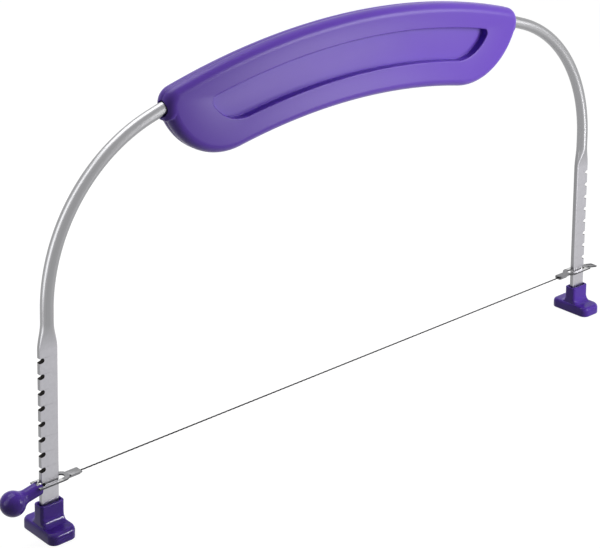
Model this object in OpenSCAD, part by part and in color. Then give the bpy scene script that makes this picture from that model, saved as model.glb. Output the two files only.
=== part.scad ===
// Arched cake leveler: a bent rod with a moulded grip, two notched legs on feet, and a wire
// whose clips hang round the legs. Z = 0 is the table, Y = 0 is the plane of the bow.

/* [Bow] */
// Diameter of the round rod
rod_d = 4.76; // [4:0.02:5.5]
// Distance between the leg centres at the lowest notch
leg_spacing = 292.5; // [270:0.5:310]
// Outward lean of each leg, in degrees
leg_lean = 3; // [1:0.5:4]
// Height above the table where the leg starts to bend
bend_start_h = 85.8; // [82:0.2:92]
// Radius of the shoulder bend, to the rod's axis
bend_r = 65.8; // [60:0.2:70]
// Angle from upright at which the shoulder runs into the crown, in degrees
bend_turn = 72; // [70:0.5:74]
// Width of the pressed leg
leg_w = 7.4; // [6.6:0.1:8]
// Thickness of the pressed leg
leg_t = 2.2; // [1.8:0.1:2.6]
// Radius of the pressed leg's long edges
leg_edge_r = 0.8; // [0.4:0.05:0.85]
// Length over which the round rod turns into the pressed leg
press_run = 10; // [6:0.5:11]
// Height of the rod's end above the table
leg_end_h = 2.6; // [2:0.1:4]

/* [Notches] */
// Number of notches in each leg
notch_count = 9; // [4:1:9]
// Rise from one notch to the next
notch_pitch = 6; // [4.5:0.1:6]
// Height of the lowest notch above the table
first_notch_h = 20.3; // [19.5:0.1:21]
// Depth of a notch
notch_depth = 1.8; // [1.4:0.05:2]
// Width of a notch
notch_w = 1.8; // [1.6:0.05:2]
// Upward slant of a notch, in degrees
notch_slant = 12; // [0:1:14]
// Flat leg left above the highest notch
notch_margin = 1.4; // [0.6:0.1:3]

/* [Grip] */
// Distance between the centres of the grip's two end lobes
lobe_spacing = 126.4; // [100:0.2:130]
// Radius of the end lobes
lobe_r = 28.6; // [26:0.2:30]
// Plastic above the rod's axis at the crown
grip_rise = 5.5; // [5:0.1:7]
// Plastic below the rod's axis at the crown
grip_drop = 28.1; // [27:0.1:30]
// Radius of the grip's upper corners
grip_corner_r = 6.3; // [5.6:0.1:7]
// Thickness of the grip
grip_t = 9.2; // [9:0.1:11]
// Rounding of the grip's long edges
grip_edge_r = 3.6; // [3:0.1:4]
// Offset of the grip from the bow's middle, along the bow
grip_shift = -0.7; // [-1:0.1:1]
// Depth of the square nose below the rod's axis, where the rod leaves the grip
nose_drop = 4.5; // [4:0.1:5.5]
// Rounding of the nose's lower corner
nose_corner_r = 0.8; // [0.4:0.1:1.2]
// Wall of the two shells
grip_wall = 1.8; // [1.5:0.1:2.2]
// Clearance between the shells and the rod
rod_fit = 0.05; // [0.02:0.01:0.15]
// Thickness of a cross rib
rib_t = 1.6; // [1:0.1:2.4]
// Number of cross ribs in each shell
rib_count = 7; // [3:1:9]

/* [Grip panel] */
// Depth of the sunk panel
panel_depth = 2.9; // [1.2:0.1:3]
// Margin from the grip's top to the panel
panel_top_margin = 9.6; // [8.5:0.1:11]
// Margin from the grip's underside to the panel
panel_low_margin = 10.8; // [10:0.1:12]
// Distance between the centres of the panel's end lobes
panel_lobe_spacing = 114.2; // [90:0.2:118]
// Radius of the panel's end lobes
panel_lobe_r = 16.5; // [14:0.1:18]
// Radius of the panel's upper corners
panel_corner_r = 2; // [1:0.1:3]
// Wall behind the sunk panel
panel_wall = 1.3; // [1:0.1:1.5]

/* [Pegs] */
// Diameter of a locating peg
peg_d = 3; // [2:0.1:3.2]
// Reach of a peg into its socket
peg_reach = 2.2; // [1.6:0.1:2.4]
// Wall round a socket
peg_wall = 1.5; // [1.2:0.1:1.7]
// Clearance round a peg
peg_fit = 0.05; // [0.02:0.01:0.15]
// Room left past a peg's end
peg_room = 0.3; // [0.1:0.05:0.4]

/* [Feet] */
// Length of a foot, front to back
foot_len = 20.2; // [18:0.2:24]
// Width of a foot
foot_w = 11.2; // [10.8:0.1:13]
// Height of the foot's base
foot_base_h = 4.4; // [4:0.1:5]
// Radius of the base's corners, seen from above
foot_corner_r = 3; // [2.4:0.1:5]
// Rounding along the base's upper ends
foot_round = 1.8; // [1:0.1:2.2]
// Chamfer along the foot's lowest edge and the sleeve's rim
foot_edge = 0.3; // [0.15:0.05:0.4]
// Height of the sleeve's rim
sleeve_h = 12.4; // [11:0.1:13]
// Wall of the sleeve at the leg's two edges
sleeve_side_wall = 1.3; // [1.2:0.05:1.5]
// Wall of the sleeve at the leg's two faces
sleeve_face_wall = 1.6; // [1.3:0.05:2]
// Radius of the sleeve's upright corners
sleeve_corner_r = 1.3; // [0.8:0.1:2]
// Radius of the fillet between base and sleeve
sleeve_fillet = 3; // [1.5:0.1:3.2]
// Width of the open mouth round the leg at the sleeve's top
mouth_w = 0.8; // [0.4:0.05:0.85]
// Depth of that mouth
mouth_depth = 1.4; // [0.6:0.1:2.4]
// Clearance round the leg in its socket
socket_fit = 0.05; // [0.02:0.01:0.15]

/* [Wire and clips] */
// Diameter of the cutting wire
wire_d = 0.5; // [0.4:0.02:0.7]
// Clearance between wire and folded tab
wire_gap = 0.06; // [0.04:0.01:0.1]
// Thickness of the clip plate
plate_t = 0.6; // [0.5:0.05:0.8]
// Clearance between a ring and the leg at rest
ring_gap = 0.2; // [0.15:0.05:0.3]
// Clearance of the ring at the leg's two faces
face_gap = 0.4; // [0.2:0.05:0.5]
// Width of the ring's bars
bar_w = 1.8; // [1.2:0.1:2]
// Gap that a seated bar keeps from the notch's end
seat_gap = 0.2; // [0.15:0.05:0.4]
// Length of the folded tab that holds the wire
hem_len = 4.7; // [4.6:0.1:6]
// Width of the folded tab
hem_w = 4.3; // [3.6:0.1:5]
// Width of the neck between the ring and the folded tab
hem_neck_w = 2.9; // [2:0.1:3.4]
// Reach of the folded-under lip, from the fold
lip_w = 3; // [2.8:0.1:3.4]
// Length of wire inside the folded tab at rest
wire_grip = 2.7; // [2:0.1:2.8]
// Length of the outer tab
outer_tab_len = 7.2; // [5:0.1:8]
// Width of the right clip's outer tab
outer_tab_w = 3.8; // [3:0.1:5]
// Width of the pressed rim round the right clip's outer tab
tab_rim = 0.7; // [0.5:0.05:1]
// Depth of the pressed hollow inside that rim
tab_sink = 0.2; // [0.1:0.05:0.3]
// Length of the narrow neck of the outer tab
tongue_neck = 1.2; // [0.8:0.1:1.6]
// Width of that neck, and of the left clip's tongue inside the knob
tongue_w = 2.2; // [1.6:0.1:2.6]
// Downward bend of the outer tabs and the knob, in degrees
knob_droop = 11; // [6:0.5:14]

/* [Pull knob] */
// Diameter of the ball
ball_d = 9.46; // [8:0.1:11]
// Distance from the ring's outer bar to the ball's centre
ball_reach = 9.6; // [9:0.1:12]
// Diameter of the neck
neck_d = 5; // [4.8:0.1:5.6]
// Radius of the blend between neck and ball
knob_blend = 4.2; // [2:0.1:5]
// Drop of the knob's axis below the clip at the ring's outer bar
knob_drop = 1.35; // [1:0.05:1.5]
// Gap between the forked end of the neck and the leg
knob_gap = 0.3; // [0.2:0.05:0.5]
// Clearance between the knob and the clip inside it
knob_fit = 0.02; // [0.01:0.01:0.05]

/* [Hidden] */
$fn = 64;
LEFT = -1;
RIGHT = 1;
cut = 0.5;
// Pieces of one rod run into each other by bury, and the buried one is thinner by hair all round
bury = 0.5;
hair = 0.01;
// Plates that are one piece run into each other by root
root = 0.1;
lean_run = tan(leg_lean);
travel = (notch_count - 1) * notch_pitch;
// Where a leg's centre line stands at height z
function leg_x(z) = leg_spacing / 2 - lean_run * (z - first_notch_h);
bend_x = leg_x(bend_start_h) - bend_r * cos(leg_lean);
bend_z = bend_start_h - bend_r * sin(leg_lean);
crown_x = bend_x + bend_r * cos(bend_turn);
crown_r = crown_x / cos(bend_turn);
crown_z = bend_z + bend_r * sin(bend_turn) - crown_r * sin(bend_turn);
press_top = first_notch_h + travel + notch_w + notch_margin;
round_start = min(press_top + press_run, bend_start_h - bury);
// Grip and panel outlines share the crown's centre
grip_top_r = crown_r + grip_rise;
grip_low_r = crown_r - grip_drop;
panel_top_r = grip_top_r - panel_top_margin;
panel_low_r = grip_low_r + panel_low_margin;
half_t = grip_t / 2;
flat_y = half_t - grip_edge_r;
// Pegs and ribs are spread about the crown's centre, in degrees from its middle
peg_r = grip_low_r + grip_wall + peg_d / 2 + peg_wall;
peg_angles = [-11.5, -4, 4, 11.5];
rib_fan = 13;
rib_step = 2 * rib_fan / (rib_count - 1);
// Surfaces that run on from one another are set back by seam, so that they don't coincide
seam = 0.05;
// Length of the nose inside the grip, and how much of the grip's edge rounding it has
nose_len = 5;
nose_round = 0.7;
sleeve_w = leg_w + 2 * sleeve_side_wall;
sleeve_t = leg_t + 2 * sleeve_face_wall;
// Clip sizes, measured from the leg's centre towards the middle of the bow
wire_z = first_notch_h - plate_t / 2 - wire_gap - wire_d / 2;
lip_z = -plate_t / 2 - wire_d - 2 * wire_gap;
bar_x = -leg_w / 2 - ring_gap;
ring_x = leg_w / 2 + travel * lean_run + ring_gap;
ring_y = leg_t / 2 + face_gap;
hem_x = ring_x + bar_w;
hem_end = hem_x + hem_len;
tab_x = bar_x - bar_w;
// Way of a clip from its rest to its seat in a notch
seat_travel = ring_gap + notch_depth - seat_gap;
// The bow's middle stands this far from the middle of the whole box, because the knob reaches further
mid_x = (ball_reach + ball_d / 2 - outer_tab_len * cos(knob_droop)) / 2;

// Moves children from the bow's middle to the middle of the whole box
module centred() {
    translate([mid_x, 0, 0]) children();
}

// Points along an arc, from angle a to angle b
function arc(c, r, a, b, n) =
    [for (i = [0:n]) let (w = a + (b - a) * i / n) c + r * [cos(w), sin(w)]];
function tail(v) = [for (i = [1:len(v) - 1]) v[i]];

// Centre of a banana outline's upper corner, and the two angles between which its arc runs
function banana_corner(top_r, low_r, lobe_x, lobe, corner) =
    let (reach = low_r + lobe,
         lobe_a = asin(lobe_x / reach),
         far = top_r - corner,
         open = acos((far * far + reach * reach - pow(lobe - corner, 2)) / (2 * far * reach)),
         top_a = 90 - lobe_a - open,
         c = [0, crown_z] + far * [cos(top_a), sin(top_a)],
         side = c - [0, crown_z] - reach * [sin(lobe_a), cos(lobe_a)])
    [c, top_a, atan2(side[1], side[0])];

// Right half of a banana outline from the middle of its top to the middle of its underside, drawn in
// by d. Four tangent arcs: top and underside about the crown's centre, an upper corner and a lobe.
function banana_half(top_r, low_r, lobe_x, lobe, corner, d) =
    let (o = [0, crown_z],
         reach = low_r + lobe,
         lobe_a = asin(lobe_x / reach),
         c_lobe = o + reach * [sin(lobe_a), cos(lobe_a)],
         turn = banana_corner(top_r, low_r, lobe_x, lobe, corner))
    concat(arc(o, top_r - d, 90, turn[1], 18),
           tail(arc(turn[0], corner - d, turn[1], turn[2], 6)),
           tail(arc(c_lobe, lobe - d, turn[2], -90 - lobe_a, 14)),
           tail(arc(o, low_r + d, 90 - lobe_a, 90, 10)));

function banana(top_r, low_r, lobe_x, lobe, corner, d) =
    let (h = banana_half(top_r, low_r, lobe_x, lobe, corner, d))
    concat(h, [for (i = [len(h) - 2:-1:1]) [-h[i][0], h[i][1]]]);

function grip_outline(d) = banana(grip_top_r, grip_low_r, lobe_spacing / 2, lobe_r, grip_corner_r, d);
function panel_outline(d) =
    banana(panel_top_r, panel_low_r, panel_lobe_spacing / 2, panel_lobe_r, panel_corner_r, d);

// Rounded rectangle ring: half sizes a along X and b along Y, corner radius r, centre x, height z
function rounded_ring(a, b, r, x, z) =
    [for (q = [0:3]) for (i = [0:6])
        let (w = 90 * q + 15 * i, sx = (q == 0 || q == 3) ? 1 : -1, sy = q < 2 ? 1 : -1)
        [x + sx * (a - r) + r * cos(w), sy * (b - r) + r * sin(w), z]];

// Solid through a stack of rings with equal numbers of points
module loft(rings) {
    n = len(rings[0]);
    last = (len(rings) - 1) * n;
    polyhedron(points = [for (r = rings) for (p = r) p],
               faces = concat([[for (i = [0:n - 1]) i]],
                              [for (k = [0:n:last - 1]) for (i = [0:n - 1])
                                  let (j = (i + 1) % n) [k + i, k + n + i, k + n + j, k + j]],
                              [[for (i = [n - 1:-1:0]) last + i]]));
}

// Ring of the grip at depth y in front of the bow's plane
function grip_ring(d, y) = [for (p = grip_outline(d)) [-p[0], -y, p[1]]];

// Insets and depths of the rings that round a long edge, for a surface drawn in by wall
function edge_rings(wall) =
    let (r = grip_edge_r - wall)
    [for (a = [0:15:90]) [wall + r * (1 - cos(a)), flat_y + r * sin(a)]];

// Front half of a rounded banana: inset by wall, from y = start to its flat face
module half_banana(wall, start) {
    loft(concat([grip_ring(wall, start)], [for (e = edge_rings(wall)) grip_ring(e[0], e[1])]));
}

// Front half of the square noses, which carry the grip's ends straight down round the rod
module noses() {
    turn = banana_corner(grip_top_r, grip_low_r, lobe_spacing / 2, lobe_r, grip_corner_r);
    top = turn[0][1];
    end = turn[0][0] + grip_corner_r - seam;
    low = crown_z + sqrt(pow(crown_r, 2) - pow(end, 2)) - nose_drop;
    r = nose_corner_r;
    function ring(d, y) =
        [for (p = concat([[end - nose_len, top], [end - nose_len, low + d]],
                         arc([end - d - r, low + d + r], r, -90, 0, 4), [[end - d, top]]))
            [p[0], -y, p[1]]];
    for (side = [LEFT, RIGHT]) {
        mirror([side == LEFT ? 1 : 0, 0, 0])
            loft(concat([ring(0, 0)], [for (e = edge_rings(0)) ring(nose_round * e[0], e[1])]));
    }
}

// Prism of the panel outline between two depths in front of the bow's plane
module panel_prism(d, near, far) {
    translate([0, -near, 0]) rotate([90, 0, 0]) linear_extrude(far - near) polygon(panel_outline(d));
}

// The rod's curved part, swept with diameter d; the crown's ends are buried in the shoulders
module rod_bends(d) {
    from = bend_turn - asin(bury / crown_r);
    translate([0, 0, crown_z]) rotate([90, 0, 0]) rotate([0, 0, from])
        rotate_extrude(angle = 180 - 2 * from, $fn = 96) translate([crown_r, 0]) circle(d = d - 2 * hair);
    for (side = [LEFT, RIGHT]) {
        mirror([side == LEFT ? 1 : 0, 0, 0]) translate([bend_x, 0, bend_z]) rotate([90, 0, 0])
            rotate([0, 0, leg_lean]) rotate_extrude(angle = bend_turn - leg_lean, $fn = 96)
                translate([bend_r, 0]) circle(d = d);
    }
}

// Moves children to the leg's centre line at height z, leaning with it; x points to the middle
module on_leg(side, z) {
    translate([side * leg_x(z), 0, z]) mirror([side == RIGHT ? 1 : 0, 0, 0]) rotate([0, leg_lean, 0])
        children();
}

// Section of the pressed leg, drawn out by grow
module leg_section(grow) {
    ring = rounded_ring(leg_w / 2 + grow, leg_t / 2 + grow, leg_edge_r + grow, 0, 0);
    polygon([for (p = ring) [p[0], p[1]]]);
}

// Where the round rod has been pressed flat: sections change smoothly over the run
module press_blend(run) {
    steps = 10;
    function mix(a, b, t) = (a - hair) * (1 + cos(180 * t)) / 2 + (b - 3 * hair) * (1 - cos(180 * t)) / 2;
    function section(t, z) =
        let (a = mix(leg_w / 2, rod_d / 2, t), b = mix(leg_t / 2, rod_d / 2, t))
        rounded_ring(a, b, mix(leg_edge_r, rod_d / 2, t), 0, z);
    loft(concat([section(0, -bury)],
                [for (i = [0:steps]) section(i / steps, run * i / steps)],
                [section(1, run + bury)]));
}

// Slot with a round end, open at the leg's outer edge
module notch() {
    deep = leg_t + 2 * cut;
    open = 3 * notch_depth;
    translate([-leg_w / 2 + notch_depth - notch_w / 2, 0, 0]) rotate([90, -notch_slant, 0]) {
        cylinder(d = notch_w, h = deep, center = true, $fn = 32);
        translate([-open / 2, 0, 0]) cube([open, notch_w, deep], center = true);
    }
}

module leg(side) {
    slope = 1 / cos(leg_lean);
    difference() {
        on_leg(side, leg_end_h) linear_extrude((press_top - leg_end_h) * slope) leg_section(0);
        for (i = [0:notch_count - 1]) {
            z = first_notch_h + i * notch_pitch;
            translate([side * leg_x(z), 0, z]) mirror([side == RIGHT ? 1 : 0, 0, 0]) notch();
        }
    }
    on_leg(side, press_top) press_blend((round_start - press_top) * slope);
    on_leg(side, round_start)
        cylinder(d = rod_d - 2 * hair, h = (bend_start_h - round_start) * slope + bury);
}

module bow_frame() {
    color("silver") centred() {
        rod_bends(rod_d);
        leg(LEFT);
        leg(RIGHT);
    }
}

// Axis line of a peg, pointing forwards, at angle a from the crown's middle
module at_peg(a) {
    translate([peg_r * sin(a), 0, crown_z + peg_r * cos(a)]) rotate([90, 0, 0]) children();
}

module ribs() {
    for (i = [0:rib_count - 1]) {
        translate([0, 0, crown_z]) rotate([0, i * rib_step - rib_fan, 0])
            translate([-rib_t / 2, -half_t, grip_low_r - cut])
                cube([rib_t, half_t, grip_top_r - grip_low_r + 2 * cut]);
    }
}

// Front half of the grip, hollow, with ribs that seat the rod and bosses for the pegs
module grip_shell() {
    difference() {
        translate([grip_shift, 0, 0]) difference() {
            union() {
                half_banana(0, 0);
                noses();
            }
            difference() {
                half_banana(grip_wall, -cut);
                ribs();
                panel_prism(-panel_wall, half_t - panel_depth - panel_wall, half_t);
                for (a = peg_angles) at_peg(a) cylinder(r = peg_d / 2 + peg_wall, h = half_t);
            }
            panel_prism(0, half_t - panel_depth, half_t + cut);
        }
        rod_bends(rod_d + 2 * rod_fit);
    }
}

module handle_front_shell() {
    color("mediumpurple") centred() {
        grip_shell();
        translate([grip_shift, 0, 0]) for (a = peg_angles)
            at_peg(a) translate([0, 0, -peg_reach]) cylinder(d = peg_d, h = peg_reach + cut);
    }
}

module handle_back_shell() {
    socket = peg_reach + peg_room;
    color("mediumpurple") centred() difference() {
        mirror([0, 1, 0]) grip_shell();
        translate([grip_shift, 0, 0]) for (a = peg_angles)
            at_peg(a) translate([0, 0, -socket]) cylinder(d = peg_d + 2 * peg_fit, h = socket + cut);
    }
}

// One foot: base with rounded ends, blended by a fillet into the sleeve that leans with the leg.
// Each ring has half sizes along X and Y, a corner radius and a height.
module foot(side) {
    x0 = side * leg_x(0);
    shift = -side * lean_run;
    a0 = foot_w / 2;
    b0 = foot_len / 2;
    a1 = sleeve_w / 2;
    b1 = sleeve_t / 2;
    r0 = foot_corner_r;
    r1 = sleeve_corner_r;
    rise = foot_base_h - foot_round;
    base = [[a0 - foot_edge, b0 - foot_edge, r0 - foot_edge, 0], [a0, b0, r0, foot_edge], [a0, b0, r0, rise]];
    shoulder = [for (w = [18:18:90]) let (k = 1 - cos(w))
        [a0 - (a0 - a1) * k, b0 - foot_round * k, r0 - (r0 - r1) / 2 * k, rise + foot_round * sin(w)]];
    fillet = [for (w = [9:18:81]) let (k = 1 - sin(w))
        [a1, b1 + sleeve_fillet * k, r1 + (r0 - r1) / 2 * k, foot_base_h + sleeve_fillet * (1 - cos(w))]];
    sleeve = [[a1, b1, r1, foot_base_h + sleeve_fillet + seam], [a1, b1, r1, sleeve_h - foot_edge],
              [a1 - foot_edge, b1 - foot_edge, r1 - foot_edge, sleeve_h]];
    color("mediumpurple") centred() difference() {
        loft([for (v = concat(base, shoulder, fillet, sleeve))
            rounded_ring(v[0], v[1], v[2], x0 + shift * v[3], v[3])]);
        on_leg(side, leg_end_h) linear_extrude(sleeve_h) leg_section(socket_fit);
        on_leg(side, sleeve_h - mouth_depth) linear_extrude(2 * mouth_depth) leg_section(mouth_w);
    }
}

module left_foot() {
    foot(LEFT);
}

module right_foot() {
    foot(RIGHT);
}

// Flat ring with a round inner end, and the neck of the folded tab
module ring_outline() {
    difference() {
        union() {
            translate([tab_x, -ring_y - bar_w]) square([ring_x - ring_y - tab_x, 2 * (ring_y + bar_w)]);
            translate([ring_x - ring_y, 0]) circle(r = ring_y + bar_w, $fn = 48);
            translate([ring_x, -hem_neck_w / 2]) square([hem_x - ring_x + root, hem_neck_w]);
        }
        translate([bar_x, -ring_y]) square([ring_x - ring_y - bar_x, 2 * ring_y]);
        translate([ring_x - ring_y, 0]) circle(r = ring_y, $fn = 48);
    }
}

// Tab folded under along its back edge, with the wire between the two leaves
module hem() {
    fold_z = lip_z / 2 - plate_t / 4;
    fold_r = plate_t / 2 - fold_z;
    fold_y = hem_w / 2 - fold_r;
    translate([hem_x, -hem_w / 2, -plate_t / 2]) cube([hem_len, hem_w / 2 + fold_y, plate_t]);
    translate([hem_x, hem_w / 2 - lip_w, lip_z - plate_t]) cube([hem_len, lip_w - fold_r, plate_t]);
    translate([hem_x, fold_y, fold_z]) rotate([0, 90, 0]) difference() {
        cylinder(r = fold_r, h = hem_len, $fn = 32);
        translate([0, 0, -cut]) cylinder(r = fold_r - plate_t, h = hem_len + 2 * cut, $fn = 32);
        translate([-fold_r - cut, -fold_r - cut, -cut])
            cube([2 * fold_r + 2 * cut, fold_r + cut, hem_len + 2 * cut]);
    }
}

module clip_plate() {
    translate([0, 0, -plate_t / 2]) linear_extrude(plate_t) ring_outline();
    hem();
}

// Places a clip at the lowest notch, pulled clear of it
module at_clip(side) {
    translate([side * leg_x(first_notch_h), 0, first_notch_h]) mirror([side == RIGHT ? 1 : 0, 0, 0])
        children();
}

// Moves children from the ring's outer bar, drooping outwards and rooted a little inside the bar
module on_droop() {
    translate([tab_x + root, 0, 0]) rotate([0, -knob_droop, 0]) children();
}

// Plate of the outer tab or the tongue: from x = 0 outwards by length
module tongue(length, grow) {
    translate([-length - grow, -tongue_w / 2 - grow, -plate_t / 2 - grow])
        cube([length + 2 * grow, tongue_w + 2 * grow, plate_t + 2 * grow]);
}

// Outline of the right clip's outer tab, drawn in by d, with its corners rounded
module tab_outline(d) {
    ring = rounded_ring((outer_tab_len - tongue_neck) / 2 - d, outer_tab_w / 2 - d, tab_rim, 0, 0);
    translate([-(outer_tab_len + tongue_neck) / 2, 0]) polygon([for (p = ring) [p[0], p[1]]]);
}

module left_clip() {
    color("gainsboro") centred() at_clip(LEFT) {
        clip_plate();
        on_droop() tongue(outer_tab_len, 0);
    }
}

module right_clip() {
    color("gainsboro") centred() at_clip(RIGHT) {
        clip_plate();
        on_droop() difference() {
            union() {
                tongue(tongue_neck + root, 0);
                translate([0, 0, -plate_t / 2]) linear_extrude(plate_t) tab_outline(0);
            }
            translate([0, 0, plate_t / 2 - tab_sink]) linear_extrude(plate_t) tab_outline(tab_rim);
        }
    }
}

// Half outline of the knob, turned about its axis: x is the radius, y runs outwards along the neck
module knob_profile(reach, lead) {
    neck_r = neck_d / 2;
    ball_r = ball_d / 2;
    far = ball_r + knob_blend;
    near = neck_r + knob_blend;
    d = sqrt(far * far - near * near);
    a = acos(near / far);
    polygon(concat(arc([0, reach], ball_r, 90, -a, 20),
                   tail(arc([near, reach - d], knob_blend, 180 - a, 180, 8)),
                   [[neck_r, -lead], [0, -lead]]));
}

// Box from the plane at x towards the middle, w wide, that leans with the leg
module beside_leg(x, w) {
    translate([x, 0, 0]) rotate([0, leg_lean, 0]) translate([0, -w / 2, -2 * neck_d])
        cube([2 * neck_d, w, 4 * neck_d]);
}

// Ball and neck on the tongue. The neck's end is a fork: it straddles the leg's edge when the clip
// is seated, and the ring's outer bar passes through it.
module pull_knob() {
    edge = -leg_w / 2 - knob_gap;
    bar_room = ring_y + bar_w + cut;
    color("mediumpurple") centred() at_clip(LEFT) difference() {
        translate([tab_x, 0, -knob_drop]) rotate([0, -90 - knob_droop, 0])
            rotate_extrude() knob_profile(ball_reach / cos(knob_droop), bar_w + neck_d / 2);
        beside_leg(edge, 2 * neck_d);
        beside_leg(edge - seat_travel, leg_t + 2 * knob_gap);
        translate([tab_x - knob_fit, -bar_room, -plate_t / 2 - knob_fit])
            cube([bar_w + neck_d, 2 * bar_room, plate_t + 2 * knob_fit]);
        on_droop() tongue(outer_tab_len, knob_fit);
    }
}

module cutting_wire() {
    half = leg_x(first_notch_h) - hem_end + wire_grip;
    color("dimgray") centred() translate([-half, 0, wire_z]) rotate([0, 90, 0])
        cylinder(d = wire_d, h = 2 * half, $fn = 32);
}

bow_frame();
handle_front_shell();
handle_back_shell();
left_foot();
right_foot();
left_clip();
right_clip();
pull_knob();
cutting_wire();
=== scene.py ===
"""Looks of an arched cake leveler: a bent steel rod with a moulded grip, two notched legs on
plastic feet, and a twisted cutting wire held by two stamped clips.

Sizes below are in millimetres, with Z = 0 on the table, Y = 0 in the plane of the bow and X = 0 in
the bow's own middle. Every mesh is moved to the frame and turned to metres where it is made. New
surfaces are grids worked out with numpy."""
import math

import bmesh
import bpy
import numpy as np
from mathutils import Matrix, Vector


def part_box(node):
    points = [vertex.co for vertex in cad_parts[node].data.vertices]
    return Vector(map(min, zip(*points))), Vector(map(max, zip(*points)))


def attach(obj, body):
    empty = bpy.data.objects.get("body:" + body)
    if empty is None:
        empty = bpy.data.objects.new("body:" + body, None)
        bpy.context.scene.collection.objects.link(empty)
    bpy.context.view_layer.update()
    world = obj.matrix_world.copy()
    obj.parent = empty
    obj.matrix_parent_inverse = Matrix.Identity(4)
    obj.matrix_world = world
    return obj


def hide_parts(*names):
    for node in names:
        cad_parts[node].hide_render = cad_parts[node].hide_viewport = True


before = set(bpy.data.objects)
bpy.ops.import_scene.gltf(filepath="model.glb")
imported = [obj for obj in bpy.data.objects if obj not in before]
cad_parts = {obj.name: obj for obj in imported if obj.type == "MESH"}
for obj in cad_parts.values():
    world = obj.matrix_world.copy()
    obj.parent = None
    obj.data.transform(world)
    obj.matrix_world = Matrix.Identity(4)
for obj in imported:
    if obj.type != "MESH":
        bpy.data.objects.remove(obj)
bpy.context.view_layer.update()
MM = 0.001
rod_low, rod_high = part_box("bow_frame")
MID_X = (rod_low[0] + rod_high[0]) / 2 / MM  # the bow's own middle plane, in the frame's X


# Camera
def aim(obj, place, target, roll=0.0):
    """Puts obj at place, looking at target, turned by roll degrees about its own view axis."""
    look = (Vector(target) - Vector(place)).normalized()
    obj.location = place
    obj.rotation_euler = look.to_track_quat("-Z", "Y").to_euler()
    obj.rotation_euler.rotate_axis("Z", math.radians(roll))


AZIMUTH, ELEVATION, ROLL = math.radians(42.0435), math.radians(23.0962), 0.2724
ALONG_FLOOR = math.cos(ELEVATION)
LOOK = Vector((math.sin(AZIMUTH) * ALONG_FLOOR, math.cos(AZIMUTH) * ALONG_FLOOR, -math.sin(ELEVATION)))
EYE = Vector((MID_X - 423.98, -440.64, 319.65)) * MM

camera = bpy.data.objects.new("camera", bpy.data.cameras.new("camera"))
bpy.context.scene.collection.objects.link(camera)
bpy.context.scene.camera = camera
camera.data.sensor_width = 36.0
camera.data.lens = 99.59
camera.data.clip_end = 20.0
aim(camera, EYE, EYE + LOOK, ROLL)


# Mesh making
def grid_faces(rows, columns, first=0):
    """Quads between successive rings of points: ring k point i joins ring k + 1 point i + 1."""
    k, i = np.meshgrid(np.arange(rows - 1), np.arange(columns), indexing="ij")
    j = (i + 1) % columns
    quads = np.stack([k * columns + i, k * columns + j, (k + 1) * columns + j, (k + 1) * columns + i], -1)
    return (first + quads).reshape(-1, 4)


def closed(rings, first=0):
    """Points and faces of a solid through rings shaped (rows, columns, 3), flat over each end ring."""
    rings = np.asarray(rings, float)
    rows, columns = rings.shape[:2]
    last = first + (rows - 1) * columns
    ends = [list(range(first, first + columns))[::-1], list(range(last, last + columns))]
    return rings.reshape(-1, 3), grid_faces(rows, columns, first).tolist() + ends


def volume_of(points, faces):
    """Signed volume: the sum over triangles of a . (b x c) / 6."""
    total = 0.0
    for face in faces:
        p = points[list(face)]
        a = np.broadcast_to(p[0], p[1:-1].shape)
        total += float(np.einsum("ij,ij->i", a, np.cross(p[1:-1], p[2:])).sum())
    return total / 6.0


def make_mesh(name, solids, sharp=35.0, uv=None):
    """Object from closed solids, each a (points, faces) pair in mm about the bow's middle. Edges over
    `sharp` degrees stay crisp, and faces are turned outwards by the sign of the enclosed volume."""
    all_points, all_faces, count = [], [], 0
    for points, faces in solids:
        if volume_of(points, faces) < 0:
            faces = [tuple(f[::-1]) for f in faces]
        all_faces += [[v + count for v in f] for f in faces]
        all_points.append(points)
        count += len(points)
    mesh = bpy.data.meshes.new(name)
    mesh.from_pydata((np.concatenate(all_points) + (MID_X, 0.0, 0.0)) * MM, [], all_faces)
    mesh.validate()
    mesh.polygons.foreach_set("use_smooth", np.ones(len(mesh.polygons), bool))
    mesh.set_sharp_from_angle(angle=math.radians(sharp))
    if uv is not None:
        layer = mesh.uv_layers.new(name="along")
        index = np.zeros(len(mesh.loops), np.int32)
        mesh.loops.foreach_get("vertex_index", index)
        layer.data.foreach_set("uv", np.asarray(uv, np.float32)[index].ravel())
    obj = bpy.data.objects.new(name, mesh)
    bpy.context.scene.collection.objects.link(obj)
    return obj


def bake_modifiers(obj, sharp):
    """Replaces obj's mesh by the one that its modifiers give, with edges over `sharp` degrees crisp."""
    seen = obj.evaluated_get(bpy.context.evaluated_depsgraph_get())
    mesh = bpy.data.meshes.new_from_object(seen)
    obj.modifiers.clear()
    obj.data = mesh
    mesh.polygons.foreach_set("use_smooth", np.ones(len(mesh.polygons), bool))
    mesh.set_sharp_from_angle(angle=math.radians(sharp))


def carve(obj, cutters, sharp):
    """Cuts the closed solids called cutters out of obj and keeps the finished mesh."""
    tools = [make_mesh("cutter", [cutter]) for cutter in cutters]
    for tool in tools:
        cut = obj.modifiers.new("cut", "BOOLEAN")
        cut.operation, cut.object, cut.solver, cut.use_self = "DIFFERENCE", tool, "EXACT", True
    bake_modifiers(obj, sharp)
    for tool in tools:
        bpy.data.objects.remove(tool)


def arc(centre, radius, start, end, steps):
    """Points on a circle about centre from angle start to angle end, in radians."""
    w = np.linspace(start, end, steps + 1)
    return np.asarray(centre) + radius * np.stack([np.cos(w), np.sin(w)], -1)


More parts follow.
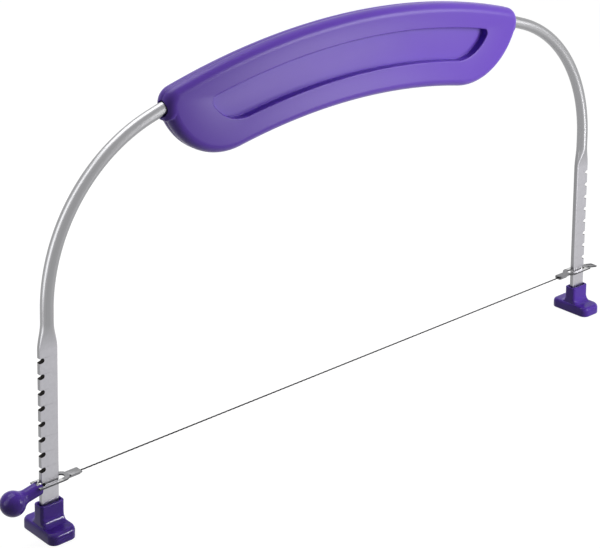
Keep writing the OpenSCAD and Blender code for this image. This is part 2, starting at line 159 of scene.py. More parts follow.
def rounded_rectangle(a, b, r, steps=9):
    """Ring of a rectangle 2a by 2b with corner radius r: quarter circles about (a - r, b - r) and its
    three reflections. Each has a further point close to either end, which keeps the flats' shading
    flat."""
    turn = np.radians(np.sort(np.append(np.linspace(0, 90, steps + 1), (1.5, 88.5))))
    corners = ((0, 1, 1), (1, -1, 1), (2, -1, -1), (3, 1, -1))
    rings = []
    for q, sx, sy in corners:
        w = turn + q * math.pi / 2
        rings.append((sx * (a - r), sy * (b - r)) + r * np.stack([np.cos(w), np.sin(w)], -1))
    return np.concatenate(rings)


# The bow's centre line and its pressed legs
LEAN = math.radians(3.0)
ROD_R = 2.38
LEG_A, LEG_B, LEG_R = 3.7, 1.1, 0.55
LEG_X, NOTCH_Z, PITCH, NOTCHES = 146.25, 20.3, 6.0, 9
NOTCH_R, NOTCH_DEPTH, NOTCH_SLANT = 0.9, 1.8, math.radians(12.0)
END_Z, PRESS_TOP, ROUND_START, BEND_START = 2.6, 71.5, 81.5, 85.8
BEND_R, TURN = 65.8, math.radians(72.0)
BEND_X = LEG_X - math.tan(LEAN) * (BEND_START - NOTCH_Z) - BEND_R * math.cos(LEAN)
BEND_Z = BEND_START - BEND_R * math.sin(LEAN)
CROWN_R = (BEND_X + BEND_R * math.cos(TURN)) / math.cos(TURN)
CROWN_Z = BEND_Z + BEND_R * math.sin(TURN) - CROWN_R * math.sin(TURN)


def leg_line(z):
    """Distance of a leg's centre from the bow's middle at height z: it leans out towards the table."""
    return LEG_X - math.tan(LEAN) * (z - NOTCH_Z)


def left_leg_rings():
    """Rings of the pressed left leg from its end up to the press, in X, Y, Z. A notch is a slot with a
    round end; each ring near it lies on a line parallel to the slot, and points further out than the
    slot's end are pulled in to that end, so that the ring follows the cut."""
    x, y = rounded_rectangle(LEG_A, LEG_B, LEG_R).T
    slope = NOTCH_SLANT + LEAN
    lean_x = np.array([math.cos(LEAN), -math.sin(LEAN)])
    lean_z = np.array([math.sin(LEAN), math.cos(LEAN)])
    centre = NOTCH_DEPTH - NOTCH_R - LEG_A
    centre_x, centre_h = centre * math.cos(LEAN), centre * math.sin(LEAN)
    half = NOTCH_R / math.cos(slope)
    tilt = math.tan(slope) * (np.minimum(x, centre_x) - centre_x)
    rings = []

    def lay(across, depth, h):
        """Ring from distances across and along the leg."""
        flat = np.array([-leg_line(END_Z), END_Z]) + across[:, None] * lean_x + h[:, None] * lean_z
        rings.append(np.stack([flat[:, 0], depth, flat[:, 1]], -1))

    lay(x, y, np.zeros(len(x)))
    for k in range(NOTCHES):
        base = (NOTCH_Z + k * PITCH - END_Z) / math.cos(LEAN) + centre_h
        lay(x, y, base - half + tilt)
        for angle in np.linspace(0, math.pi, 13):
            p, q = -NOTCH_R * math.cos(angle), NOTCH_R * math.sin(angle)
            end_x = centre_x + q * math.cos(slope) - p * math.sin(slope)
            end_h = q * math.sin(slope) + p * math.cos(slope)
            cut = x < end_x
            level = p / math.cos(slope) + math.tan(slope) * (np.minimum(x, end_x) - centre_x)
            depth = np.where(cut & (np.abs(y) > 0.6 * LEG_B), np.sign(y) * LEG_B, y)
            lay(np.where(cut, end_x, x), depth, base + np.where(cut, end_h, level))
        lay(x, y, base + half + tilt)
    lay(x, y, np.full(len(x), (PRESS_TOP - END_Z) / math.cos(LEAN)))
    return np.array(rings)


def half_bow_rings():
    """Left half of the bow from the leg's end to the crown's middle: rounded rectangles whose half
    sizes and corner radius blend by a cosine from the pressed leg to the round rod, carried along
    the leg's line, the shoulder's arc and the crown's arc."""
    reach = (BEND_START - PRESS_TOP) / math.cos(LEAN)
    press = (ROUND_START - PRESS_TOP) / math.cos(LEAN)
    up = np.array([math.sin(LEAN), math.cos(LEAN)])
    start = np.array([-leg_line(PRESS_TOP), PRESS_TOP])
    stations = []
    for h in list(np.linspace(0, press, 21)[1:]) + [reach]:
        t = (1 - math.cos(math.pi * min(h / press, 1.0))) / 2
        size = [flat + (ROD_R - flat) * t for flat in (LEG_A, LEG_B, LEG_R)]
        stations.append((size, start + up * h, up))
    for a in np.linspace(LEAN, TURN, 34)[1:]:
        place = np.array([-BEND_X - BEND_R * math.cos(a), BEND_Z + BEND_R * math.sin(a)])
        stations.append(([ROD_R] * 3, place, np.array([math.sin(a), math.cos(a)])))
    for a in np.linspace(TURN, math.pi / 2, 24)[1:]:
        place = np.array([-CROWN_R * math.cos(a), CROWN_Z + CROWN_R * math.sin(a)])
        stations.append(([ROD_R] * 3, place, np.array([math.sin(a), math.cos(a)])))
    rings = []
    for (a, b, r), place, along in stations:
        n, y = rounded_rectangle(a, b, r * 0.999).T
        flat = place + n[:, None] * np.array([along[1], -along[0]])
        rings.append(np.stack([flat[:, 0], y, flat[:, 1]], -1))
    return np.concatenate([left_leg_rings(), np.array(rings)])


def bow():
    """The half bow and its mirror image, joined at the crown's middle, as one closed sweep. The UV map
    runs along the rod in metres and round it from 0 to 1."""
    half = half_bow_rings()
    rings = np.concatenate([half, half[::-1][1:] * (-1.0, 1.0, 1.0)])
    middle = rings.mean(1)
    length = np.concatenate([[0.0], np.cumsum(np.linalg.norm(np.diff(middle, axis=0), axis=1))])
    turn = np.arange(rings.shape[1]) / rings.shape[1]
    uv = np.stack(np.meshgrid(length * MM, turn, indexing="ij"), -1).reshape(-1, 2)
    return make_mesh("bow_rod", [closed(rings)], 40.0, uv)


def face_places(obj):
    """Centres of a piece's faces, in mm about the bow's middle, and their normals, both as columns."""
    mesh = obj.data
    centre, normal = np.zeros(len(mesh.polygons) * 3), np.zeros(len(mesh.polygons) * 3)
    mesh.polygons.foreach_get("center", centre)
    mesh.polygons.foreach_get("normal", normal)
    return (centre.reshape(-1, 3) / MM - (MID_X, 0.0, 0.0)).T, normal.reshape(-1, 3).T


def paint(obj, choices):
    """Gives the chosen faces of a piece further finishes: each choice is a finish and a mask."""
    index = np.zeros(len(obj.data.polygons), np.int32)
    for number, (finish, mask) in enumerate(choices):
        obj.data.materials.append(finish)
        index[mask] = number + 1
    obj.data.polygons.foreach_set("material_index", index)


def notch_walls(obj):
    """Mask of the punched walls of the notches: faces that look along the leg or outwards, further in
    than the leg's outer edge, between the lowest and the highest notch."""
    (x, _, z), (_, facing, _) = face_places(obj)
    depth = leg_line(z) + LEG_A - np.abs(x)
    inside = (depth > 0.06) & (depth < NOTCH_DEPTH + 0.1)
    high = (z > NOTCH_Z - 2 * NOTCH_R) & (z < NOTCH_Z + (NOTCHES - 1) * PITCH + 2 * NOTCH_R)
    return inside & high & (np.abs(facing) < 0.5)


# The grip
def corner_of(top_r, low_r, lobe_x, lobe, corner):
    """Centres and angles of a banana outline: the lobe and its angle about the crown's centre, and
    the upper corner with the two angles between which its arc runs."""
    o = np.array([0.0, CROWN_Z])
    reach, far = low_r + lobe, top_r - corner
    lobe_a = math.asin(lobe_x / reach)
    c_lobe = o + reach * np.array([math.sin(lobe_a), math.cos(lobe_a)])
    opened = math.acos((far * far + reach * reach - (lobe - corner) ** 2) / (2 * far * reach))
    top_a = math.pi / 2 - lobe_a - opened
    c_corner = o + far * np.array([math.cos(top_a), math.sin(top_a)])
    side = c_corner - c_lobe
    return c_lobe, lobe_a, c_corner, top_a, math.atan2(side[1], side[0])


def banana(top_r, low_r, lobe_x, lobe, corner, d):
    """Closed banana outline drawn in by d: top and underside arcs about the crown's centre, an
    upper corner and an end lobe on each side, all tangent where they meet."""
    o = np.array([0.0, CROWN_Z])
    c_lobe, lobe_a, c_corner, top_a, side_a = corner_of(top_r, low_r, lobe_x, lobe, corner)
    half = np.concatenate([
        arc(o, top_r - d, math.pi / 2, top_a, 40),
        arc(c_corner, corner - d, top_a, side_a, 12)[1:],
        arc(c_lobe, lobe - d, side_a, -math.pi / 2 - lobe_a, 32)[1:],
        arc(o, low_r + d, math.pi / 2 - lobe_a, math.pi / 2, 24)[1:]])
    return np.concatenate([half, half[::-1][1:-1] * (-1.0, 1.0)])


GRIP = (CROWN_R + 5.5, CROWN_R - 28.1, 63.2, 28.6, 6.3)
PANEL = (CROWN_R - 4.1, CROWN_R - 17.3, 57.1, 16.5, 2.0)
HALF_T, EDGE_R, DEPTH = 4.6, 3.6, 2.9
GRIP_SHIFT = -0.7
GROOVE = 0.08
NOSE_DROP, NOSE_R, BLUNT_NOSE_R, NOSE_LEN, NOSE_ROUND = 4.5, 0.8, 2.4, 5.0, 1.0
NOSE_SHY = 0.99  # keeps the nose's flat just under the grip's own
PANEL_LIP, PANEL_FOOT = 0.6, 0.15
MOUTH_GAP, MOUTH_IN = 0.55, 2.4


def edge_rings():
    """Insets and depths of the rings over a long edge: the parting groove, then a quarter circle."""
    start = [(2 * GROOVE, 0.0), (0.5 * GROOVE, 0.5 * GROOVE), (0.0, 1.5 * GROOVE)]
    return start + [(EDGE_R * (1 - math.cos(a)), HALF_T - EDGE_R + EDGE_R * math.sin(a))
                    for a in np.radians(np.linspace(0, 90, 15))]


def layer(outline, depth):
    """Ring in the bow's plane, moved over with the grip and set off by depth along Y."""
    return np.stack([outline[:, 0] + GRIP_SHIFT, np.full(len(outline), depth), outline[:, 1]], -1)


def nose(side, end):
    """Square nose round the rod at one end of the grip: a rectangle with a round lower corner, stacked
    like the grip's long edge but with less rounding."""
    _, _, c_corner, _, _ = corner_of(*GRIP)
    far = c_corner[0] + GRIP[4] - 0.02
    low = CROWN_Z + math.sqrt(CROWN_R ** 2 - far ** 2) - NOSE_DROP
    rings = []
    for inset, depth in edge_rings():
        d, depth = NOSE_ROUND * inset, depth * NOSE_SHY
        x, z = far - d, low + d
        back, top = far - NOSE_LEN, c_corner[1]
        r = NOSE_R if end < 0 else BLUNT_NOSE_R
        corner = arc((x - r, z + r), r, -math.pi / 2, 0, 8)
        outline = np.concatenate([[[back, top], [back, z]], corner, [[x, top]]])
        rings.append(layer(outline * (end, 1.0), side * depth))
    return closed(rings)


def mouth(end):
    """Short cylinder round the rod at one end of the grip, which opens a dark gap round it there."""
    x = end * (corner_of(*GRIP)[2][0] + GRIP[4]) + GRIP_SHIFT
    angle = math.asin(x / CROWN_R)
    along = np.array([math.cos(angle), 0.0, -math.sin(angle)]) * end
    across = np.array([math.sin(angle), 0.0, math.cos(angle)])
    w = np.linspace(0, 2 * math.pi, 49)[:-1]
    ring = np.cos(w)[:, None] * across + np.sin(w)[:, None] * np.array([0.0, 1.0, 0.0])
    centre = across * CROWN_R + (0.0, 0.0, CROWN_Z)
    return closed([centre + along * step + ring * (ROD_R + MOUTH_GAP) for step in (-MOUTH_IN, 3.0)])


def grip_half(name, side):
    """One shell of the grip, side -1 in front and +1 behind. Rings run from the parting line, over
    its fine groove and the long edge's quarter round, across the flat face, and down the panel's
    wall, with a small radius at the wall's top and bottom."""
    rings = [layer(banana(*GRIP, inset), side * depth) for inset, depth in edge_rings()]
    for a in np.radians(np.linspace(0, 90, 6)):
        inset, depth = -PANEL_LIP * (1 - math.sin(a)), HALF_T - PANEL_LIP * (1 - math.cos(a))
        rings.append(layer(banana(*PANEL, inset), side * depth))
    for a in np.radians(np.linspace(0, 90, 6)):
        inset, depth = PANEL_FOOT * (1 - math.cos(a)) + 0.1, HALF_T - DEPTH + PANEL_FOOT * (1 - math.sin(a))
        rings.append(layer(banana(*PANEL, inset), side * depth))
    obj = make_mesh(name, [closed(rings), nose(side, 1.0), nose(side, -1.0)], 32.0)
    carve(obj, [mouth(1.0), mouth(-1.0)], 32.0)
    return obj


# Feet
FOOT_A, FOOT_B, FOOT_R, FOOT_H, FOOT_EDGE, FOOT_SOFT = 5.6, 10.1, 3.0, 4.4, 0.3, 1.8
SLEEVE_A, SLEEVE_B, SLEEVE_R, SLEEVE_H, FILLET = 5.0, 2.7, 1.3, 12.4, 3.0
MOUTH_W, MOUTH_DEPTH = 0.8, 1.4


def foot(name, side):
    """A foot: rounded rectangles stacked from the table up over the base's soft upper edge and a
    concave fillet into the sleeve, over its rim and down into the mouth round the leg. Each is
    moved over with the leg's lean."""
    quarter = np.radians(np.linspace(0, 90, 11))
    few = np.radians(np.linspace(0, 90, 5))
    rise = FOOT_H - FOOT_SOFT
    half_r = (FOOT_R - SLEEVE_R) / 2
    stack = []
    for w in few:
        k = FOOT_EDGE * (1 - math.sin(w))
        stack.append((FOOT_A - k, FOOT_B - k, FOOT_R - k, FOOT_EDGE * (1 - math.cos(w))))
    for w in quarter:
        k = 1 - math.cos(w)
        size = (FOOT_A - (FOOT_A - SLEEVE_A) * k, FOOT_B - FOOT_SOFT * k, FOOT_R - half_r * k)
        stack.append((*size, rise + FOOT_SOFT * math.sin(w)))
    for w in quarter:
        k = 1 - math.sin(w)
        size = (SLEEVE_A, SLEEVE_B + FILLET * k, SLEEVE_R + half_r * k)
        stack.append((*size, FOOT_H + FILLET * (1 - math.cos(w))))
    for w in few:
        k = FOOT_EDGE * (1 - math.cos(w))
        stack.append((SLEEVE_A - k, SLEEVE_B - k, SLEEVE_R - k, SLEEVE_H - FOOT_EDGE * (1 - math.sin(w))))
    mouth = (LEG_A + MOUTH_W, LEG_B + MOUTH_W, LEG_R + MOUTH_W)
    stack.append((*mouth, SLEEVE_H))
    stack.append((*[m - 0.08 for m in mouth], SLEEVE_H - 0.12))
    stack.append((*[m - 0.1 for m in mouth], SLEEVE_H - MOUTH_DEPTH))
    rings = []
    for a, b, r, z in stack:
        x, y = rounded_rectangle(a, b, r).T
        rings.append(np.stack([x + side * leg_line(z), y, np.full(len(x), z)], -1))
    return make_mesh(name, [closed(rings)], 30.0)


# Clips and knob
RING_GAP, BAR_W, PLATE_T, RING_Y = 0.2, 1.8, 0.6, 1.5
SEAT_TRAVEL = RING_GAP + NOTCH_DEPTH - 0.2
TAB_X, TAB_FLOOR = -LEG_A - RING_GAP - BAR_W, 1.25
HEM_X = 8.2
HIGHLIGHT_HALF = 4.3  # half length of the bars' bright part in front of the leg: a painted reflection of the leg
BALL_R, BALL_REACH, NECK_R, KNOB_BLEND, KNOB_DROP = 4.73, 9.6, 2.5, 4.2, 1.35
DROOP, KNOB_GAP, KNOB_ROUND = math.radians(11.0), 0.3, 0.35


def turned_knob():
    """Ball, blend and neck as one profile turned about an axis that droops away from the leg; the
    neck's end runs past the leg's edge, where it is cut to a fork afterwards."""
    reach = BALL_REACH / math.cos(DROOP)
    near, far = NECK_R + KNOB_BLEND, BALL_R + KNOB_BLEND
    opened = math.acos(near / far)
    lead = BAR_W + NECK_R
    profile = np.concatenate([
        arc((0, reach), BALL_R, math.pi / 2, -opened, 40),
        arc((near, reach - math.sqrt(far ** 2 - near ** 2)), KNOB_BLEND, math.pi - opened, math.pi, 14)[1:],
        [[NECK_R, -lead]]])
    w = np.linspace(0, 2 * math.pi, 73)[:-1]
    radius, out = profile[1:, 0], profile[1:, 1]
    axis = np.array([-math.cos(DROOP), 0.0, -math.sin(DROOP)])
    up = np.array([-math.sin(DROOP), 0.0, math.cos(DROOP)])
    start = np.array([-LEG_X + TAB_X, 0.0, NOTCH_Z - KNOB_DROP])
    round_axis = np.cos(w)[:, None] * up + np.sin(w)[:, None] * np.array([0.0, 1.0, 0.0])
    rings = start + radius[:, None, None] * round_axis + out[:, None, None] * axis
    points, faces = closed(rings)
    tip = len(points)
    points = np.concatenate([points, [start + axis * profile[0, 1]]])
    faces[-2:] = [faces[-1]] + [(tip, (i + 1) % len(w), i) for i in range(len(w))]
    return make_mesh("turned_knob", [(points, faces)], 30.0)


def box_solid(low, high, x, tilt):
    """Box from corner low to corner high about the notch plane, turned by tilt about Y at distance x
    from the left leg's centre."""
    corner = np.array([[a, b, c] for c in (low[2], high[2]) for a, b in
                       ((low[0], low[1]), (high[0], low[1]), (high[0], high[1]), (low[0], high[1]))])
    turned = np.stack([corner[:, 0] * math.cos(tilt) + corner[:, 2] * math.sin(tilt), corner[:, 1],
                       corner[:, 2] * math.cos(tilt) - corner[:, 0] * math.sin(tilt)], -1)
    return closed((turned + (x - LEG_X, 0.0, NOTCH_Z)).reshape(2, 4, 3))


def knob():
    """The pull knob: its neck ends in a fork that straddles the leg's edge when the clip is seated,
    and the clip's outer bar passes through the fork."""
    obj = turned_knob()
    edge, big = -LEG_A - KNOB_GAP, 12.0
    slot_y = LEG_B + KNOB_GAP
    carve(obj, [
        box_solid((0, -big, -big), (big, big, big), edge, LEAN),
        box_solid((0, -slot_y, -big), (big, slot_y, big), edge - SEAT_TRAVEL, LEAN),
        box_solid((0, -big, -PLATE_T / 2), (big, big, PLATE_T / 2), TAB_X, 0.0)], 30.0)
    return obj


def softened_plate(node, name, width):
    """Copy of a stamped clip with its loose triangles joined, flat faces made whole and then parted
    where the painted highlight and shade change, and every sharp edge rounded by width, as tumbling leaves
    it."""
    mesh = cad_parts[node].data.copy()
    mesh.name = name
    work = bmesh.new()
    work.from_mesh(mesh)
    bmesh.ops.remove_doubles(work, verts=work.verts, dist=0.002 * MM)
    bmesh.ops.dissolve_limit(work, angle_limit=math.radians(1.0), verts=work.verts, edges=work.edges)
    bmesh.ops.recalc_face_normals(work, faces=work.faces)
    for inwards in (HIGHLIGHT_HALF, -HIGHLIGHT_HALF, TAB_X):
        for side in (-1, 1):
            place = Vector((MID_X + side * (LEG_X - inwards), 0.0, 0.0)) * MM
            parts = work.verts[:] + work.edges[:] + work.faces[:]
            bmesh.ops.bisect_plane(work, geom=parts, dist=1e-7, plane_co=place, plane_no=(1, 0, 0))
    work.to_mesh(mesh)
    work.free()
    mesh.materials.clear()
    obj = bpy.data.objects.new(name, mesh)
    bpy.context.scene.collection.objects.link(obj)
    bevel = obj.modifiers.new("soft_edges", "BEVEL")
    bevel.width, bevel.segments, bevel.limit_method = width * MM, 2, "ANGLE"
    bevel.angle_limit, bevel.harden_normals = math.radians(40.0), False
    bake_modifiers(obj, 25.0)
    return obj


def clip_masks(obj):
    """Masks of a clip's sheared edges, which look sideways, and of its faces with painted shade: the fold
    round the wire, and all that looks up beyond the leg's width, except the rim of the outer tab, which
    stays bright."""
    (x, y, _), (_, _, up) = face_places(obj)
    inwards = LEG_X - np.abs(x)
    rim = (inwards < TAB_X) & (np.abs(y) > TAB_FLOOR)
    shaded = (up > 0.5) & (np.abs(inwards) > HIGHLIGHT_HALF) & ~rim
    return (np.abs(up) < 0.5) & (inwards < HEM_X), shaded | (inwards >= HEM_X)


# The cutting wire
WIRE_Z = NOTCH_Z - PLATE_T / 2 - 0.06 - 0.25
WIRE_R, STRANDS, STRAND_R, WIRE_PITCH, WIRE_END = 0.29, 3, 0.15, 7.0, 136.334


def wire():
    """Strands wound round each other: each is a small circle carried along a helix, whose radius is
    what is left of the wire's own beside the strand's. They are drawn a little coarser than the real
    0.5 mm wire's, so that the twist and its dark line show."""
    steps, sides = 1500, 8
    winding = WIRE_R - STRAND_R
    x = np.linspace(-WIRE_END, WIRE_END, steps)
    w = np.linspace(0, 2 * math.pi, sides + 1)[:-1]
    ring = STRAND_R * np.stack([np.zeros(sides), np.cos(w), np.sin(w)], -1)
    solids = []
    for number in range(STRANDS):
        angle = 2 * math.pi * (x / WIRE_PITCH + number / STRANDS)
        centre = np.stack([x, winding * np.cos(angle), WIRE_Z + winding * np.sin(angle)], -1)
        solids.append(closed(centre[:, None] + ring))
    return make_mesh("twisted_wire", solids, 60.0)


# Materials
def linear(code):
    """sRGB hex to linear RGBA."""
    part = [int(code[i:i + 2], 16) / 255 for i in (1, 3, 5)]
    return [c / 12.92 if c <= 0.04045 else ((c + 0.055) / 1.055) ** 2.4 for c in part] + [1.0]


def add(tree, kind, settings=None, **links):
    """Adds a node, sets its properties and unlinked sockets, and links the named inputs; inN is the
    input with number N."""
    node = tree.nodes.new(kind)
    for key, value in (settings or {}).items():
        if isinstance(key, str) and hasattr(node, key) and key not in node.inputs:
            setattr(node, key, value)
        else:
            node.inputs[key].default_value = value
    for key, source in links.items():
        numbered = key.startswith("in") and key[2:].isdigit()
        tree.links.new(source, node.inputs[int(key[2:]) if numbered else key.replace("_", " ")])
    return node


def material(name):
    """Empty node material with its output and a Principled shader."""
    m = bpy.data.materials.new(name)
    m.use_nodes = True
    t = m.node_tree
    t.nodes.clear()
    shader = add(t, "ShaderNodeBsdfPrincipled")
    out = add(t, "ShaderNodeOutputMaterial")
    t.links.new(shader.outputs[0], out.inputs[0])
    return m, t, shader


# Numbers of a colour Mix node's sockets
COLOUR_A, COLOUR_B, COLOUR_OUT = 6, 7, 2


def moulded_plastic(name, dark, light, roughness, level, grain_mm, grain_depth):
    """Injection-moulded ABS: slightly uneven pigment, a fine spark-eroded grain that softens the
    highlight, and a sheen that comes and goes with the grain. The grain is drawn coarser than the
    real 0.05 mm, so that it shows."""
    m, t, s = material(name)
    place = add(t, "ShaderNodeTexCoord").outputs["Object"]
    cloud = add(t, "ShaderNodeTexNoise", {"Scale": 1 / (25.0 * MM), "Detail": 3.0}, Vector=place)
    tone = {"data_type": "RGBA", COLOUR_A: linear(dark), COLOUR_B: linear(light)}
    pigment = add(t, "ShaderNodeMix", tone, in0=cloud.outputs["Fac"])
    t.links.new(pigment.outputs[COLOUR_OUT], s.inputs["Base Color"])
    grain = add(t, "ShaderNodeTexNoise", {"Scale": 1 / (grain_mm * MM), "Detail": 2.0}, Vector=place)
    relief = {"Strength": 0.3, "Distance": grain_depth * MM}
    bump = add(t, "ShaderNodeBump", relief, Height=grain.outputs["Fac"])
    t.links.new(bump.outputs[0], s.inputs["Normal"])
    sheen = {"To Min": roughness - 0.04, "To Max": roughness + 0.04}
    rough = add(t, "ShaderNodeMapRange", sheen, Value=grain.outputs["Fac"])
    t.links.new(rough.outputs[0], s.inputs["Roughness"])
    s.inputs["IOR"].default_value = 1.5
    s.inputs["Specular IOR Level"].default_value = level
    return m


def steel(name, dark, light, grain_mm, rough_low, rough_high, dent):
    """Bare steel: a mottled tone, a roughness that follows it, and fine dents of depth dent in mm."""
    m, t, s = material(name)
    place = add(t, "ShaderNodeTexCoord").outputs["Object"]
    grain = add(t, "ShaderNodeTexNoise", {"Scale": 1 / (grain_mm * MM), "Detail": 3.0}, Vector=place)
    tone = {"data_type": "RGBA", COLOUR_A: linear(dark), COLOUR_B: linear(light)}
    mottle = add(t, "ShaderNodeMix", tone, in0=grain.outputs["Fac"])
    t.links.new(mottle.outputs[COLOUR_OUT], s.inputs["Base Color"])
    s.inputs["Metallic"].default_value = 1.0
    polish = {"To Min": rough_low, "To Max": rough_high}
    rough = add(t, "ShaderNodeMapRange", polish, Value=grain.outputs["Fac"])
    t.links.new(rough.outputs[0], s.inputs["Roughness"])
    bump = add(t, "ShaderNodeBump", {"Strength": 0.3, "Distance": dent * MM}, Height=grain.outputs["Fac"])
    t.links.new(bump.outputs[0], s.inputs["Normal"])
    return m


def drawn_steel():
    """Drawn steel rod with a satin nickel finish. Faint draw lines run along it and stretch its
    highlight. The pressed legs are mottled by the die. The round rod is drawn darker than the legs'
    flats, as painted shade and painted light for what each reflects, and the legs' sides, which face
    along X, are painted darker again as shade."""
    m, t, s = material("nickel_finished_drawn_steel")
    along = add(t, "ShaderNodeUVMap", {"uv_map": "along"}).outputs[0]
    where = add(t, "ShaderNodeTexCoord")
    place = where.outputs["Object"]
    stretch = add(t, "ShaderNodeMapping", {"Scale": (18.0, 90.0, 1.0)}, Vector=along)
    lines = add(t, "ShaderNodeTexNoise", {"Scale": 1.0, "Detail": 3.0}, Vector=stretch.outputs[0])
    pits = add(t, "ShaderNodeTexNoise", {"Scale": 1 / (1.2 * MM), "Detail": 3.0}, Vector=place)
    height = add(t, "ShaderNodeSeparateXYZ", Vector=place)
    ramp = {"From Min": ROUND_START * MM, "From Max": PRESS_TOP * MM}
    pressed = add(t, "ShaderNodeMapRange", ramp, Value=height.outputs["Z"]).outputs[0]
    facing = add(t, "ShaderNodeSeparateXYZ", Vector=where.outputs["Normal"])
    across = add(t, "ShaderNodeMath", {"operation": "ABSOLUTE"}, in0=facing.outputs["X"])
    # the legs' sides, which face along X, take a darker tone: painted shade
    side_shade_mask = add(t, "ShaderNodeMapRange", {"From Min": 0.75, "From Max": 0.97}, Value=across.outputs[0])
    # the round rod is drawn darker and the flats paler: painted shade and painted light for what each
    # reflects
    rod_tone = {"data_type": "RGBA", COLOUR_A: linear("#8E8E90"), COLOUR_B: linear("#9C9C9E")}
    flat_tone = {"data_type": "RGBA", COLOUR_A: linear("#ABAAAF"), COLOUR_B: linear("#B9B8BD")}
    rod = add(t, "ShaderNodeMix", rod_tone, in0=lines.outputs["Fac"]).outputs[COLOUR_OUT]
    flat = add(t, "ShaderNodeMix", flat_tone, in0=pits.outputs["Fac"]).outputs[COLOUR_OUT]
    side_shade_tone = {"data_type": "RGBA", COLOUR_B: linear("#8C8C8E")}
    leg = add(t, "ShaderNodeMix", side_shade_tone, in0=side_shade_mask.outputs[0], in6=flat).outputs[COLOUR_OUT]
    both = add(t, "ShaderNodeMix", {"data_type": "RGBA"}, in0=pressed, in6=rod, in7=leg)
    t.links.new(both.outputs[COLOUR_OUT], s.inputs["Base Color"])
    s.inputs["Metallic"].default_value = 1.0
    s.inputs["Roughness"].default_value = 0.32
    bump = add(t, "ShaderNodeBump", {"Strength": 0.2, "Distance": 0.02 * MM}, Height=pits.outputs["Fac"])
    t.links.new(bump.outputs[0], s.inputs["Normal"])
    return m


# The object's pieces
grip_plastic = moulded_plastic("satin_moulded_grip_plastic", "#6440B6", "#6B45C0", 0.32, 0.25, 0.5, 0.004)
# The feet and knob are moulded in the grip's purple; their darker tone is painted shade
foot_plastic = moulded_plastic("glossy_moulded_foot_plastic", "#5430A8", "#5E38B4", 0.20, 0.18, 0.8, 0.001)
rod_steel = drawn_steel()
# The ring's bars are drawn bright and nearly smooth in front of the leg: the brightness is a painted
# reflection of the leg
clip_steel = steel("spring_steel_painted_highlight", "#BEBEBE", "#D0D0D0", 1.5, 0.12, 0.22, 0.01)
# The rest of the plate is drawn a soft mottled grey, darker than the bars: painted shade
clip_shade_steel = steel("oil_darkened_sheet_steel", "#747476", "#8A8A8C", 0.8, 0.35, 0.50, 0.03)
# The plate's cut edges are rough and drawn dark, painted shade that draws a dark line round it
sheared_steel = steel("sheared_steel_edge", "#3C3C3E", "#565658", 0.6, 0.45, 0.60, 0.02)
# The notches' walls are drawn near black and without a highlight: painted shade in the slots
notch_shade_steel = steel("oxidised_punched_wall", "#141313", "#2C2A28", 0.6, 0.60, 0.75, 0.05)
# The strands are drawn almost black against the white and hold no highlight of their own
wire_steel = steel("dark_stranded_steel", "#101012", "#242426", 4.0, 0.50, 0.65, 0.0)


def dress(obj, finish, body, slot, *nodes):
    """Gives a new piece its finish, and says which body it rides on and which solids it stands for."""
    obj.data.materials.clear()
    obj.data.materials.append(finish)
    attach(obj, body)
    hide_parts(*nodes)


rod = bow()
dress(rod, rod_steel, "frame", "bow", "bow_frame")
# the notches' walls get the near-black painted shade
paint(rod, [(notch_shade_steel, notch_walls(rod))])
dress(grip_half("grip_front", -1), grip_plastic, "frame", "grip_plastic", "handle_front_shell")
dress(grip_half("grip_back", 1), grip_plastic, "frame", "grip_plastic", "handle_back_shell")
left_foot = foot("moulded_left_foot", -1)
right_foot = foot("moulded_right_foot", 1)
dress(left_foot, foot_plastic, "frame", "foot_plastic", "left_foot")
dress(right_foot, foot_plastic, "frame", "foot_plastic", "right_foot")
pull_knob = knob()
dress(pull_knob, foot_plastic, "left_clip_body", "foot_plastic", "pull_knob")
dress(wire(), wire_steel, "wire", "wire_steel", "cutting_wire")
plates = []
for side in ("left", "right"):
    plate = softened_plate(side + "_clip", "stamped_" + side + "_clip", 0.12)
    dress(plate, clip_steel, side + "_clip_body", "clip_steel", side + "_clip")
    edges, faces = clip_masks(plate)
    paint(plate, [(sheared_steel, edges), (clip_shade_steel, faces)])
    plates.append(plate)


# Floor, light and world
FLOOR_GREY = 0.2
FLOOR_GLOW = 0.93


def studio_paper():
    """White studio paper: it glows to the camera and in reflections, so that it reads white there, and
    is greyer to the object's own light; the object's shadow is kept."""
    m = bpy.data.materials.new("white_studio_paper")
    m.use_nodes = True
    t = m.node_tree
    t.nodes.clear()
    path = add(t, "ShaderNodeLightPath")
    paper = add(t, "ShaderNodeBsdfDiffuse", {"Color": (FLOOR_GREY, FLOOR_GREY, FLOOR_GREY, 1.0)})
    seen = add(t, "ShaderNodeMath", {"operation": "MAXIMUM"}, in0=path.outputs["Is Camera Ray"],
               in1=path.outputs["Is Glossy Ray"])
    through = add(t, "ShaderNodeMath", {"operation": "MAXIMUM"}, in0=seen.outputs[0],
                  in1=path.outputs["Is Transmission Ray"])
    level = add(t, "ShaderNodeMath", {"operation": "MULTIPLY", 1: FLOOR_GLOW}, in0=through.outputs[0])
    glow = add(t, "ShaderNodeEmission", {"Color": (1, 1, 1, 1)}, Strength=level.outputs[0])
    both = add(t, "ShaderNodeAddShader", None, in0=paper.outputs[0], in1=glow.outputs[0])
    add(t, "ShaderNodeOutputMaterial", None, in0=both.outputs[0])
    return m


size = 4.0
corners = [(-size, -size, -0.0002), (size, -size, -0.0002), (size, size, -0.0002), (-size, size, -0.0002)]
floor_mesh = bpy.data.meshes.new("floor")
floor_mesh.from_pydata(corners, [], [(0, 1, 2, 3)])
floor = bpy.data.objects.new("floor", floor_mesh)
bpy.context.scene.collection.objects.link(floor)
floor_mesh.materials.append(studio_paper())


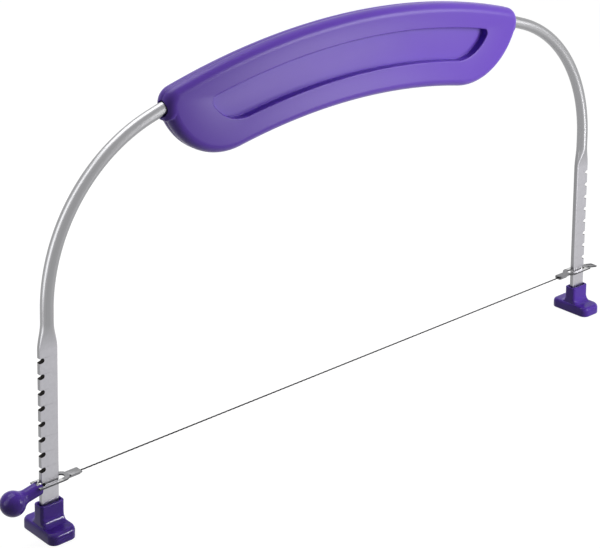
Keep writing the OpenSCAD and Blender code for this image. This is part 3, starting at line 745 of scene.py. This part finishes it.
def softbox(name, place, target, width, height, watts, spread=180.0):
    """A rectangular soft light aimed at target, which the camera doesn't see; a spread under 180
    degrees is a grid on its front, which keeps its light near its axis."""
    data = bpy.data.lights.new(name, "AREA")
    data.shape = "RECTANGLE"
    data.size, data.size_y, data.energy, data.spread = width, height, watts, math.radians(spread)
    lamp = bpy.data.objects.new(name, data)
    lamp.visible_camera = False
    bpy.context.scene.collection.objects.link(lamp)
    aim(lamp, place, target)
    return lamp


def keep_to(lamp, name, *pieces):
    """Keeps a lamp's light to the given pieces, as a flag beside it would in a studio."""
    group = bpy.data.collections.new(name)
    for piece in pieces:
        group.objects.link(piece)
    lamp.light_linking.receiver_collection = group
    lamp.visible_diffuse = False


softbox("key", (0.30, -0.33, 0.23), (0.08, 0.0, 0.14), 0.25, 0.25, 0.25, 58.0)
softbox("top", (-0.05, 0.40, 1.12), (0.0, 0.0, 0.1), 0.9, 0.8, 7.5)
softbox("low_card", (0.185, -0.22, 0.05), (0.0, 0.0, 0.13), 0.09, 0.09, 0.20)
left_card = softbox("left_card", (-0.29, 0.03, 0.20), (-0.10, 0.0, 0.12), 0.10, 0.38, 0.32)
foot_card = softbox("foot_card", (0.04, -0.20, 0.12), (-0.14, 0.0, 0.006), 0.16, 0.015, 0.15, 50.0)
keep_to(left_card, "card_pieces", rod, left_foot, right_foot, pull_knob, *plates)
keep_to(foot_card, "feet", left_foot, right_foot)

AMBIENT = 0.08
world = bpy.data.worlds.new("studio")
bpy.context.scene.world = world
world.use_nodes = True
tree = world.node_tree
tree.nodes.clear()
path = add(tree, "ShaderNodeLightPath")
seen = add(tree, "ShaderNodeMath", {"operation": "MAXIMUM"}, in0=path.outputs["Is Camera Ray"],
           in1=path.outputs["Is Glossy Ray"])
through = add(tree, "ShaderNodeMath", {"operation": "MAXIMUM"}, in0=seen.outputs[0],
              in1=path.outputs["Is Transmission Ray"])
strength = add(tree, "ShaderNodeMapRange", {"To Min": AMBIENT, "To Max": 1.0}, Value=through.outputs[0])
sky = add(tree, "ShaderNodeBackground", {"Color": (1, 1, 1, 1)}, Strength=strength.outputs[0])
add(tree, "ShaderNodeOutputWorld", None, in0=sky.outputs[0])

bpy.context.scene.view_settings.view_transform = "Standard"
